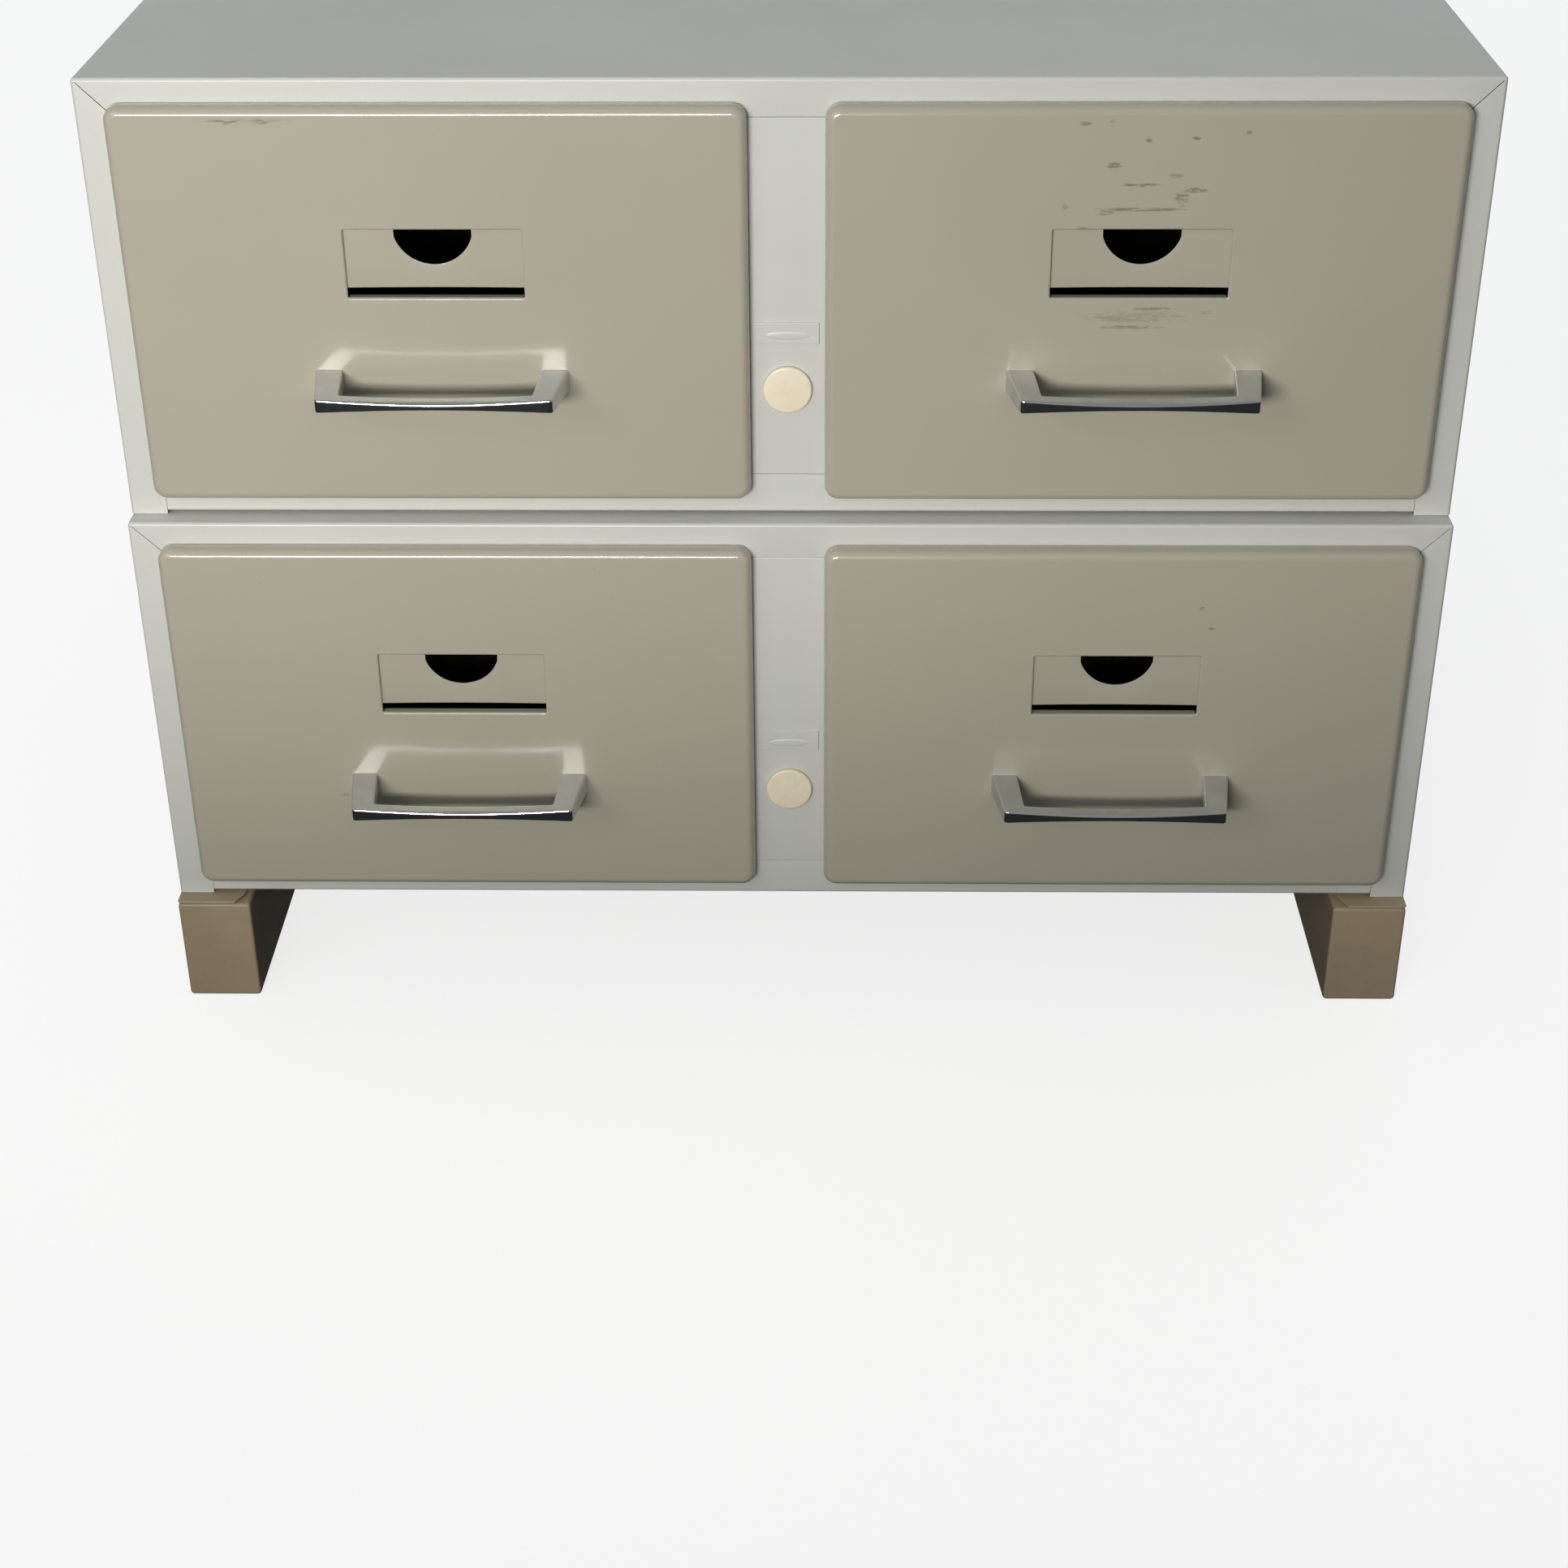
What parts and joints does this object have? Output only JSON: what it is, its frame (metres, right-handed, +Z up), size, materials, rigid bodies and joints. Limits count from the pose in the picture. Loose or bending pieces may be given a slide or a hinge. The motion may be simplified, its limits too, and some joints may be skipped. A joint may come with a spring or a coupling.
{
  "type": "metal filing cabinet",
  "caption": "Steel card-index cabinet: stacked two-drawer modules on runner feet, with label windows, bridge handles and telescopic drawer slides.",
  "frame": {"origin": "on the floor under the middle of the cabinet's box, handles included", "axes": "+Z up, +Y from the drawer fronts to the back, +X to the right of someone facing the fronts"},
  "size_m": [0.6, 0.6396, 0.4541],
  "materials": {
    "frame_enamel": "satin",
    "drawer_enamel": "satin",
    "inner_enamel": "matt",
    "foot_enamel": "satin",
    "satin_chrome": "satin",
    "zinc_plate": "satin",
    "ivory_plastic": "semi-gloss"
  },
  "bodies": {
    "cabinet": {"left_foot": "foot_enamel", "right_foot": "foot_enamel", "lower_casing": "frame_enamel", "lower_bottom_panel": "frame_enamel", "lower_back_panel": "frame_enamel", "lower_centre_post": "frame_enamel", "lower_partition": "frame_enamel", "lower_nameplate": "frame_enamel", "lower_lock_hole_cap": "ivory_plastic", "lower_left_outer_cabinet_rail": "zinc_plate", "lower_left_inner_cabinet_rail": "zinc_plate", "lower_right_outer_cabinet_rail": "zinc_plate", "lower_right_inner_cabinet_rail": "zinc_plate", "upper_casing": "frame_enamel", "upper_bottom_panel": "frame_enamel", "upper_back_panel": "frame_enamel", "upper_centre_post": "frame_enamel", "upper_partition": "frame_enamel", "upper_nameplate": "frame_enamel", "upper_lock_hole_cap": "ivory_plastic", "upper_left_outer_cabinet_rail": "zinc_plate", "upper_left_inner_cabinet_rail": "zinc_plate", "upper_right_outer_cabinet_rail": "zinc_plate", "upper_right_inner_cabinet_rail": "zinc_plate"},
    "lower_left_drawer": {"lower_left_drawer_front": "drawer_enamel", "lower_left_label_plate": "drawer_enamel", "lower_left_handle": "satin_chrome", "lower_left_tray": "inner_enamel", "lower_left_outer_drawer_rail": "zinc_plate", "lower_left_inner_drawer_rail": "zinc_plate"},
    "lower_left_middle_rails": {"lower_left_outer_middle_rail": "zinc_plate", "lower_left_inner_middle_rail": "zinc_plate"},
    "lower_right_drawer": {"lower_right_drawer_front": "drawer_enamel", "lower_right_label_plate": "drawer_enamel", "lower_right_handle": "satin_chrome", "lower_right_tray": "inner_enamel", "lower_right_outer_drawer_rail": "zinc_plate", "lower_right_inner_drawer_rail": "zinc_plate"},
    "lower_right_middle_rails": {"lower_right_outer_middle_rail": "zinc_plate", "lower_right_inner_middle_rail": "zinc_plate"},
    "upper_left_drawer": {"upper_left_drawer_front": "drawer_enamel", "upper_left_label_plate": "drawer_enamel", "upper_left_handle": "satin_chrome", "upper_left_tray": "inner_enamel", "upper_left_outer_drawer_rail": "zinc_plate", "upper_left_inner_drawer_rail": "zinc_plate"},
    "upper_left_middle_rails": {"upper_left_outer_middle_rail": "zinc_plate", "upper_left_inner_middle_rail": "zinc_plate"},
    "upper_right_drawer": {"upper_right_drawer_front": "drawer_enamel", "upper_right_label_plate": "drawer_enamel", "upper_right_handle": "satin_chrome", "upper_right_tray": "inner_enamel", "upper_right_outer_drawer_rail": "zinc_plate", "upper_right_inner_drawer_rail": "zinc_plate"},
    "upper_right_middle_rails": {"upper_right_outer_middle_rail": "zinc_plate", "upper_right_inner_middle_rail": "zinc_plate"}
  },
  "joints": [
    {"name": "lower_left_drawer_slide", "type": "slide", "parent": "cabinet", "child": "lower_left_drawer", "axis": [0, -1, 0], "range_m": [0, 0.5]},
    {"name": "lower_left_middle_slide", "type": "slide", "parent": "cabinet", "child": "lower_left_middle_rails", "axis": [0, -1, 0], "range_m": [0, 0.25]},
    {"name": "lower_right_drawer_slide", "type": "slide", "parent": "cabinet", "child": "lower_right_drawer", "axis": [0, -1, 0], "range_m": [0, 0.5]},
    {"name": "lower_right_middle_slide", "type": "slide", "parent": "cabinet", "child": "lower_right_middle_rails", "axis": [0, -1, 0], "range_m": [0, 0.25]},
    {"name": "upper_left_drawer_slide", "type": "slide", "parent": "cabinet", "child": "upper_left_drawer", "axis": [0, -1, 0], "range_m": [0, 0.5]},
    {"name": "upper_left_middle_slide", "type": "slide", "parent": "cabinet", "child": "upper_left_middle_rails", "axis": [0, -1, 0], "range_m": [0, 0.25]},
    {"name": "upper_right_drawer_slide", "type": "slide", "parent": "cabinet", "child": "upper_right_drawer", "axis": [0, -1, 0], "range_m": [0, 0.5]},
    {"name": "upper_right_middle_slide", "type": "slide", "parent": "cabinet", "child": "upper_right_middle_rails", "axis": [0, -1, 0], "range_m": [0, 0.25]}
  ],
  "couplings": [
    {"joint": "lower_left_middle_slide", "follows": "lower_left_drawer_slide", "ratio": 0.5},
    {"joint": "lower_right_middle_slide", "follows": "lower_right_drawer_slide", "ratio": 0.5},
    {"joint": "upper_left_middle_slide", "follows": "upper_left_drawer_slide", "ratio": 0.5},
    {"joint": "upper_right_middle_slide", "follows": "upper_right_drawer_slide", "ratio": 0.5}
  ]
}
